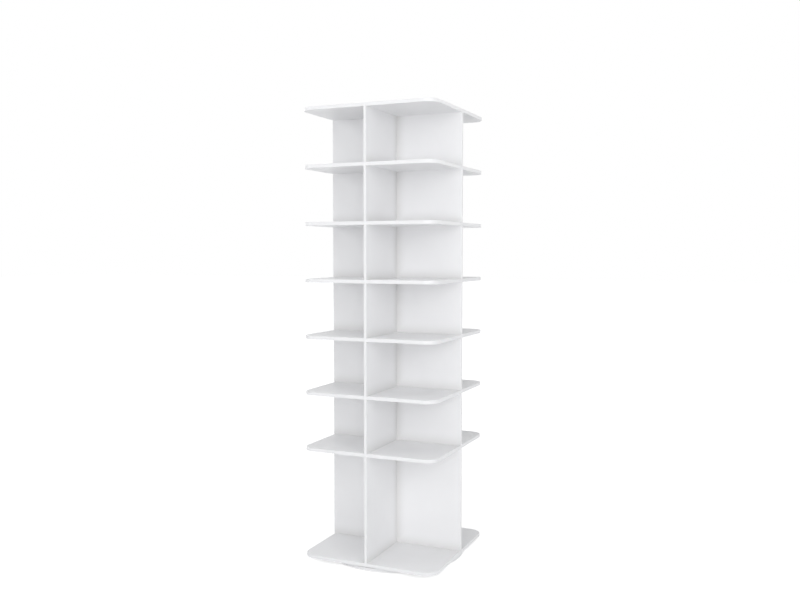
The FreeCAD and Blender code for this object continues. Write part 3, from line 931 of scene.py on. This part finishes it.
FASTENERS = fastener_cutters()
print("Fasteners that need holes:", len(FASTENERS))

# %% Drill
CORE_INDEX = 1


def join(builds):
    """Several bmeshes in one."""
    joined = bmesh.new()
    for build in builds:
        mesh = bpy.data.meshes.new("part")
        build.to_mesh(mesh)
        build.free()
        joined.from_mesh(mesh)
        bpy.data.meshes.remove(mesh)
    return joined


def drop_slivers(mesh):
    """Take out the edges and faces of no size that a Boolean can leave."""
    build = bmesh.new()
    build.from_mesh(mesh)
    bmesh.ops.dissolve_degenerate(build, dist=MERGE, edges=build.edges)
    build.to_mesh(mesh)
    build.free()


def combine(piece, other_build, operation, material_index):
    """Add a shape to a piece or take it out. Its faces get the material at this index."""
    for face in other_build.faces:
        face.material_index = material_index
    other = new_object("other", other_build, piece.data.materials)
    boolean = piece.modifiers.new("shape", "BOOLEAN")
    boolean.operation = operation
    boolean.solver = "MANIFOLD"
    boolean.object = other
    before = piece.data
    shown = piece.evaluated_get(bpy.context.evaluated_depsgraph_get())
    piece.data = bpy.data.meshes.new_from_object(shown)
    piece.modifiers.clear()
    drop_slivers(piece.data)
    bpy.data.meshes.remove(before)
    bpy.data.meshes.remove(other.data)
    piece.data.name = piece.name


def drill(piece, node, core=CORE_INDEX):
    """Cut the holes of every fastener that enters a CAD node."""
    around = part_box(node)
    cutters = [make() for corners, make in FASTENERS if boxes_meet(corners, around)]
    combine(piece, join(cutters), "DIFFERENCE", core)
    return len(cutters)


# %% [markdown]
# ## Boards
# Under its band each board is a slab of chipboard with melamine on both faces. Only the two faces
# get the white finish. A hair-fine bevel where face and band meet makes the glue line. The base board
# also has a round seat routed in it for the bearing, and the top board has seats for its plugs.

# %% Board cores
GLUE_LINE = 0.00012
SEAT_SEGMENTS = 128
SEAT_FIT = 0.0002
SEAT_RUNNING_GAP = 0.001
PLUG_FIT = 0.00005
FACED_NORMAL = 0.5


def radii_of(node):
    """The smallest and the largest distance of a CAD node from the tower's axis."""
    reaches = [vert.co.xy.length for vert in frame["nodes"][node].data.vertices]
    return min(reaches), max(reaches)


def square_ring(outer, inner, bottom, top, segments=SEAT_SEGMENTS):
    """A ring with a square section."""
    section = [(inner, bottom), (outer, bottom), (outer, top), (inner, top)]
    return lathe(section, segments, closed=True)


def face_only(build):
    """Melamine on the level faces, bare chipboard on the narrow ones."""
    for face in build.faces:
        face.material_index = 0 if abs(face.normal.z) > FACED_NORMAL else CORE_INDEX


def board_core(node):
    """One board without its band."""
    low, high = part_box(node)
    build = rounded_slab(low, high, CORNER_RADIUS - BAND_THICKNESS)
    bevel(build, [edge for face in level_faces(build) for edge in face.edges], GLUE_LINE, 1)
    face_only(build)
    return new_object(node + "_panel", build, [MELAMINE, CHIPBOARD])


def rout_base_board(piece):
    """The seat in the underside that holds the outer ring and clears the inner one."""
    outer = radii_of("bearing_outer_ring")[1] + SEAT_FIT
    inner = radii_of("bearing_inner_ring")[0] - SEAT_RUNNING_GAP
    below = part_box("base_board")[0].z - END_GAP
    seat = square_ring(outer, inner, below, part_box("bearing_outer_ring")[1].z)
    combine(piece, seat, "DIFFERENCE", CORE_INDEX)


def seat_plugs(piece):
    """The recesses in the top board that the plugs fill."""
    seats = []
    for low, high in solids_of("top_screw_plugs"):
        radius = (high.x - low.x) / 2 + PLUG_FIT
        floor_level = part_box("top_board_screws")[1].z
        above = high.z + END_GAP
        outline = [(0.0, floor_level), (radius, floor_level), (radius, above), (0.0, above)]
        seats.append(copies(lathe(outline, FINE_SEGMENTS), [axis_point((low, high), 0.0)]))
    combine(piece, join(seats), "DIFFERENCE", CORE_INDEX)


for board in BOARDS:
    panel = board_core(board)
    holes = drill(panel, board)
    if board == "base_board":
        rout_base_board(panel)
    if board == "top_board":
        seat_plugs(panel)
    stand_for(panel, board)
print("Holes in the last board:", holes)

# %% [markdown]
# ## Dividers
# A divider is faced on its two broad sides, and its outer end is hidden by its strip. The ends stand a
# little proud of the boards, so the top and the bottom show there, and they are sealed white. In every
# tier one long divider runs right across, and two short ones butt against it with dowels between them.

# %% Dividers
SEALED_INDEX = 2
STRIP_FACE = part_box("divider_edge_bands")[1].x


def divider_core(node):
    """One upright panel, with a glue line at each end that carries a strip."""
    low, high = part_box(node)
    thin = 0 if high.x - low.x < high.y - low.y else 1
    build = start_build()
    add_block(build, low, high)
    ends = [edge for edge in build.edges if is_upright(edge)
            and max(abs(edge.verts[0].co.x), abs(edge.verts[0].co.y)) > STRIP_FACE - 2 * BAND_THICKNESS]
    bevel(build, ends, GLUE_LINE, 1)
    for face in build.faces:
        if abs(face.normal[thin]) > FACED_NORMAL:
            face.material_index = 0
        else:
            face.material_index = SEALED_INDEX if abs(face.normal.z) > FACED_NORMAL else CORE_INDEX
    return new_object(node.replace("_divider", "_upright"), build, [MELAMINE, CHIPBOARD, BAND])


TIERS = range(1, len(BOARDS))
for tier in TIERS:
    for side in ("long", "right", "left"):
        divider = f"tier_{tier}_{side}_divider"
        upright = divider_core(divider)
        drill(upright, divider)
        stand_for(upright, divider)

# %% [markdown]
# ## Base disc
# The disc is sawn round, so its outline is a circle, not a slab. It lies still on six feet. A ring is
# routed in its top for the bearing, and one hole lets a screwdriver reach the bearing's outer screws.

# %% Base disc
DISC_SEGMENTS = 192
ACCESS_RADIUS = 0.005
FIRST_SCREW_TURN = math.radians(22.5)


def disc_core(node):
    """The faced disc inside its band."""
    low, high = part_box(node)
    radius = high.x
    outline = [(0.0, low.z), (radius - GLUE_LINE, low.z), (radius, low.z + GLUE_LINE),
               (radius, high.z - GLUE_LINE), (radius - GLUE_LINE, high.z), (0.0, high.z)]
    build = lathe(outline, DISC_SEGMENTS)
    face_only(build)
    return new_object(node + "_panel", build, [MELAMINE, CHIPBOARD])


def bore_disc(piece):
    """The shanks of the foot screws go up into the disc, and the access hole right through it."""
    low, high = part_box("base_disc")
    bores = []
    for corners in solids_of("foot_screws"):
        shank, tip = shank_of("foot_screws") / 2 + SCREW_FIT, corners[1].z + END_GAP
        outline = [(0.0, low.z - END_GAP), (shank, low.z - END_GAP), (shank, tip), (0.0, tip)]
        bores.append(copies(lathe(outline), [axis_point(corners, 0.0)]))
    ring_screw = solids_of("outer_ring_screws")[0]
    reach = axis_point(ring_screw, 0.0).length
    spot = Vector((reach * math.cos(FIRST_SCREW_TURN), reach * math.sin(FIRST_SCREW_TURN), 0.0))
    outline = [(0.0, low.z - END_GAP), (ACCESS_RADIUS, low.z - END_GAP),
               (ACCESS_RADIUS, high.z + END_GAP), (0.0, high.z + END_GAP)]
    bores.append(copies(lathe(outline, FINE_SEGMENTS), [spot]))
    combine(piece, join(bores), "DIFFERENCE", CORE_INDEX)


def rout_disc(piece):
    """The seat in the top that holds the inner ring and clears the outer one."""
    outer = radii_of("bearing_outer_ring")[1] + SEAT_RUNNING_GAP
    inner = radii_of("bearing_inner_ring")[0] - SEAT_FIT
    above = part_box("base_disc")[1].z + END_GAP
    seat = square_ring(outer, inner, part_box("bearing_inner_ring")[0].z, above)
    combine(piece, seat, "DIFFERENCE", CORE_INDEX)


def disc_banding(node):
    """The disc's band: a tall thin section with its two outer corners eased, spun round."""
    low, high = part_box(node)
    outer, inner = high.x, radii_of("base_disc")[1]
    build = square_ring(outer, inner, low.z, high.z, DISC_SEGMENTS)
    ease(build, outer_rims(build, Vector((0.0, 0.0, (low.z + high.z) / 2))))
    open_joint(build, JOINT_OFFSET)
    return new_object("base_disc_banding", build, [BAND])


disc = disc_core("base_disc")
drill(disc, "base_disc")
bore_disc(disc)
rout_disc(disc)
stand_for(disc, "base_disc")
stand_for(disc_banding("base_disc_edge_band"), "base_disc_edge_band")

# %% [markdown]
# ## Rubber feet
# Six round pads hold the disc off the floor. A moulded foot has a softly rounded floor edge, a sunk
# seat for its screw's head, and shallow grooves that keep it from sliding. All of that is one outline
# for the lathe, and the rounded edge is an arc worked out from its radius.

# %% Feet
FOOT_EDGE_RADIUS = 0.001
FOOT_TOP_EASE = 0.0003
FOOT_RECESS_RADIUS = 0.0055
FOOT_RECESS_DEPTH = 0.0028
GROOVE_RADII = (0.0080, 0.0105)
GROOVE_WIDTH = 0.0012
GROOVE_DEPTH = 0.0005
GROOVE_SHAPE = ((-0.5, 0.0), (-0.3, 1.0), (0.3, 1.0), (0.5, 0.0))


def foot_outline(radius, height):
    """Half the section of a foot: bore, seat, grooved floor face, rounded edge and side."""
    bore = shank_of("foot_screws") / 2 + SCREW_FIT
    points = [(bore, height), (bore, FOOT_RECESS_DEPTH), (FOOT_RECESS_RADIUS, FOOT_RECESS_DEPTH)]
    points.append((FOOT_RECESS_RADIUS, 0.0))
    for middle in GROOVE_RADII:
        for across, deep in GROOVE_SHAPE:
            points.append((middle + across * GROOVE_WIDTH, deep * GROOVE_DEPTH))
    points += arc((radius - FOOT_EDGE_RADIUS, FOOT_EDGE_RADIUS), FOOT_EDGE_RADIUS, -90.0, 0.0)
    return points + [(radius, height - FOOT_TOP_EASE), (radius - FOOT_TOP_EASE, height)]


def feet(node):
    """One turned foot, copied to every place."""
    pads = solids_of(node)
    low, high = pads[0]
    template = lathe(foot_outline((high.x - low.x) / 2, high.z), FINE_SEGMENTS, closed=True)
    places = [axis_point(pad, 0.0) for pad in pads]
    return new_object("rubber_feet", copies(template, places), [RUBBER])


stand_for(feet("foot_pads"), "foot_pads")

# %% [markdown]
# ## Screws
# Each kind of screw is made once. The lathe turns its body, and a small triangle spun along a helix is
# its thread: rings round the shank would look alike from afar, but a helix is what a screw is. The
# thread shrinks towards the tip with the core. A Boolean joins the two, and two more cut the cross.

# %% Screw helpers
THREAD_PITCH = 0.0016
THREAD_DEPTH = 0.0005
THREAD_BITE = 0.0001
THREAD_ROOT = 0.35
STEPS_PER_TURN = 12
NECK_LENGTH = 0.002
NECK_SHARE = 0.9
TIP_LENGTH = 0.0025
TIP_RADIUS = 0.00025
HEAD_EASE = 0.0001
PAN_HEIGHT = {"foot_screws": 0.0022}
PAN_EASE = 0.00088
CROSS_SPAN = 0.0042
CROSS_WIDTH = 0.0014
CROSS_DEPTH = 0.0014
CROSS_TAPER = 0.6


def screw_outline(head, shank, length, pan_height):
    """Half the section of a screw that points down, the top of its head at z = 0."""
    neck, core = shank * NECK_SHARE, shank - THREAD_DEPTH
    if pan_height:
        dome = arc((head - PAN_EASE, -PAN_EASE), PAN_EASE, 90.0, 0.0)
        top = [*dome, (head, -pan_height), (neck, -pan_height)]
    else:
        top = [(head - HEAD_EASE, 0.0), (head - HEAD_EASE / 2, -HEAD_EASE / 2), (neck, neck - head)]
    neck_end = top[-1][1] - NECK_LENGTH
    shaft = [(neck, neck_end), (core, neck_end - THREAD_DEPTH), (core, TIP_LENGTH - length)]
    return [(0.0, 0.0), *top, *shaft, (TIP_RADIUS, -length), (0.0, -length)], neck_end


def thread(shank, length, start):
    """A triangle spun down a helix, from under the neck to the tip."""
    core = shank - THREAD_DEPTH
    turns = int((length + start - TIP_RADIUS) / THREAD_PITCH)
    build = bmesh.new()
    root = core - THREAD_BITE
    verts = []
    for radius, share in ((root, -THREAD_ROOT), (shank, 0.0), (root, THREAD_ROOT)):
        verts.append(build.verts.new((radius, 0.0, start + (share - 0.5) * THREAD_PITCH)))
    face = build.faces.new(verts)
    bmesh.ops.spin(build, geom=[face, *face.edges, *face.verts], cent=(0.0, 0.0, 0.0), axis=UP,
                   dvec=(0.0, 0.0, -THREAD_PITCH / STEPS_PER_TURN), angle=turns * FULL_TURN,
                   steps=turns * STEPS_PER_TURN, use_merge=False)
    for vert in build.verts:
        share = min(1.0, (vert.co.z + length) / TIP_LENGTH)
        shrink = (TIP_RADIUS + (core - TIP_RADIUS) * share) / core
        vert.co.x, vert.co.y = vert.co.x * shrink, vert.co.y * shrink
    bmesh.ops.recalc_face_normals(build, faces=build.faces)
    return build


def cross_bar(span, width):
    """One bar of the cross recess, narrower at its foot."""
    build = bmesh.new()
    low = Vector((-span / 2, -width / 2, -CROSS_DEPTH))
    corners = add_block(build, low, Vector((span / 2, width / 2, END_GAP)))
    foot = [vert for vert in corners if vert.co.z < 0.0]
    bmesh.ops.scale(build, vec=(CROSS_TAPER, CROSS_TAPER, 1.0), verts=foot)
    return build


def screw_template(node, corners):
    """The finished screw, as a bmesh that points down from the origin."""
    head, shank, length = screw_sizes(node, corners)
    outline, neck_end = screw_outline(head, shank, length, PAN_HEIGHT.get(node))
    screw = new_object("screw", lathe(outline), [ZINC])
    combine(screw, thread(shank, length, neck_end), "UNION", 0)
    for span, width in ((CROSS_SPAN, CROSS_WIDTH), (CROSS_WIDTH, CROSS_SPAN)):
        combine(screw, cross_bar(span, width), "DIFFERENCE", 0)
    build = bmesh.new()
    build.from_mesh(screw.data)
    bpy.data.meshes.remove(screw.data)
    return build


# %% Screws
DRIVEN_TURN = math.radians(137.5)
SCREWS = (*COUNTERSUNK, "foot_screws")


def screws(node):
    """Every screw of one CAD node. Each stopped at its own turn when it was driven."""
    found = solids_of(node)
    places = [screw_place(node, corners) @ Matrix.Rotation(index * DRIVEN_TURN, 4, "Z")
              for index, corners in enumerate(found)]
    return new_object("driven_" + node, copies(screw_template(node, found[0]), places), [ZINC])


for fastener in SCREWS:
    stand_for(screws(fastener), fastener)

# %% [markdown]
# ## Dowels
# A beech dowel is fluted, so that glue can run along it, and its ends are chamfered. The lathe makes
# the pin with twice as many sides as flutes, and every second column of points is then drawn in.

# %% Dowels
FLUTES = 20
FLUTE_DEPTH = 0.00018
FLUTE_FROM = 0.25
DOWEL_CHAMFER = 0.0005
DOWEL_PIECES = {"shelf_dowels": "shelf_pins", "end_dowels": "end_pins", "cross_dowels": "cross_pins"}


def dowel_template(corners):
    """A fluted pin about the origin."""
    low, high = corners
    radius, half = min(high - low) / 2, max(high - low) / 2
    ends = [(0.0, half), (radius - DOWEL_CHAMFER, half), (radius, half - DOWEL_CHAMFER)]
    build = lathe(ends + [(reach, -height) for reach, height in reversed(ends)], 2 * FLUTES)
    sector = FULL_TURN / FLUTES
    drawn_in = 1.0 - FLUTE_DEPTH / radius
    for vert in build.verts:
        reach = vert.co.xy.length
        turn = math.atan2(vert.co.y, vert.co.x) / sector
        if reach > radius - MERGE and abs(turn - round(turn)) > FLUTE_FROM:
            bmesh.ops.scale(build, vec=(drawn_in, drawn_in, 1.0), verts=[vert])
    return build


for node, name in DOWEL_PIECES.items():
    pins = solids_of(node)
    spread = [dowel_place(pin) for pin in pins]
    stand_for(new_object(name, copies(dowel_template(pins[0]), spread), [BEECH]), node)

# %% [markdown]
# ## Bearing
# Two aluminium rings lie one inside the other, and balls in a nylon cage run between them. A ring is a
# closed outline: chamfered corners, and on the side of the balls an arc for the race. The cage is a
# thin hoop, and a Boolean opens a round pocket in it for every ball.

# %% Bearing rings
RING_CHAMFER = 0.0004
RACE_CLEARANCE = 0.0003
RACE_STEPS = 10
BALLS_LOW, BALLS_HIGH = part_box("bearing_balls")
BALL_RADIUS = (BALLS_HIGH.z - BALLS_LOW.z) / 2
BALL_LEVEL = (BALLS_HIGH.z + BALLS_LOW.z) / 2
RACE_RADIUS = BALL_RADIUS + RACE_CLEARANCE
BALL_CIRCLE = (radii_of("bearing_inner_ring")[1] + radii_of("bearing_outer_ring")[0]) / 2


def race(side):
    """The groove's arc in a wall, from its upper end to its lower one. Side 1 opens inwards."""
    gap = abs(radii_of("bearing_inner_ring")[1] - BALL_CIRCLE)
    end = math.degrees(math.acos(gap / RACE_RADIUS))
    middle = 0.0 if side > 0 else 180.0
    start, stop = middle + side * end, middle - side * end
    return arc((BALL_CIRCLE, BALL_LEVEL), RACE_RADIUS, start, stop, RACE_STEPS)


def ring_outline(node):
    """A ring's closed section, its corners chamfered and its race on the side of the balls."""
    inner, outer = radii_of(node)
    bottom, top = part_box(node)[0].z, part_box(node)[1].z
    inner_wall = [(inner + RING_CHAMFER, top), (inner, top - RING_CHAMFER)]
    outer_wall = [(outer - RING_CHAMFER, bottom), (outer, bottom + RING_CHAMFER)]
    if inner > BALL_CIRCLE:
        inner_wall += race(1)
    else:
        outer_wall += reversed(race(-1))
    inner_wall += [(inner, bottom + RING_CHAMFER), (inner + RING_CHAMFER, bottom)]
    outer_wall += [(outer, top - RING_CHAMFER), (outer - RING_CHAMFER, top)]
    return inner_wall + outer_wall


for node in ("bearing_inner_ring", "bearing_outer_ring"):
    turned = lathe(ring_outline(node), SEAT_SEGMENTS, closed=True)
    ring = new_object("turned_" + node.removeprefix("bearing_"), turned, [ALUMINIUM])
    drill(ring, node, core=0)
    stand_for(ring, node)

# %% Balls and cage
BALL_SUBDIVISIONS = 3
POCKET_SEGMENTS = 16
BALLS = len(solids_of("bearing_balls"))


def round_the_axis(index, radius, height):
    """The place of one ball out of all, evenly round the axis."""
    turn = FULL_TURN * index / BALLS
    return Vector((radius * math.cos(turn), radius * math.sin(turn), height))


def balls():
    """All the balls, as icospheres: their faces are even, and no pole shows."""
    build = bmesh.new()
    bmesh.ops.create_icosphere(build, subdivisions=BALL_SUBDIVISIONS, radius=BALL_RADIUS)
    places = [round_the_axis(index, BALL_CIRCLE, BALL_LEVEL) for index in range(BALLS)]
    return new_object("steel_balls", copies(build, places), [STEEL])


def cage(node):
    """The hoop with its pockets."""
    inner, outer = radii_of(node)
    bottom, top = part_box(node)[0].z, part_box(node)[1].z
    hoop = new_object("nylon_cage", square_ring(outer, inner, bottom, top), [NYLON])
    build = bmesh.new()
    bmesh.ops.create_cone(build, cap_ends=True, segments=POCKET_SEGMENTS, radius1=RACE_RADIUS,
                          radius2=RACE_RADIUS, depth=4 * (outer - inner))
    places = []
    for index in range(BALLS):
        spin = Matrix.Rotation(FULL_TURN * index / BALLS, 4, "Z")
        places.append(Matrix.Translation(round_the_axis(index, BALL_CIRCLE, BALL_LEVEL)) @ spin @ ALONG_X)
    combine(hoop, copies(build, places), "DIFFERENCE", 0)
    return hoop


stand_for(balls(), "bearing_balls")
stand_for(cage("bearing_ball_cage"), "bearing_ball_cage")

# %% [markdown]
# ## Screw plugs
# Four moulded plugs hide the sunk screws of the top board. They lie flush, with a rounded rim, a
# shallow ring that the mould's ejector leaves, and a peg that pushes into the screw's cross.

# %% Plugs
PLUG_RIM = 0.0003
EJECTOR_RING = (0.0028, 0.0031)
EJECTOR_DEPTH = 0.00006
PEG_RADIUS = 0.00065


def plug_outline(radius, peg_foot, underside, top):
    """Half the section of a plug, from the tip of its peg to the middle of its face."""
    start, end = EJECTOR_RING
    points = [(0.0, peg_foot), (PEG_RADIUS, peg_foot), (PEG_RADIUS, underside), (radius, underside)]
    points += arc((radius - PLUG_RIM, top - PLUG_RIM), PLUG_RIM, 0.0, 90.0)
    points += [(end, top), (end, top - EJECTOR_DEPTH), (start, top - EJECTOR_DEPTH), (start, top)]
    return points + [(0.0, top)]


def plugs(node):
    """One turned plug, copied to every place."""
    found = solids_of(node)
    low, high = found[0]
    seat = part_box("top_board_screws")[1].z
    template = lathe(plug_outline((high.x - low.x) / 2, low.z, seat, high.z), FINE_SEGMENTS)
    places = [axis_point(plug, 0.0) for plug in found]
    return new_object("moulded_plugs", copies(template, places), [MOULDING])


stand_for(plugs("top_screw_plugs"), "top_screw_plugs")
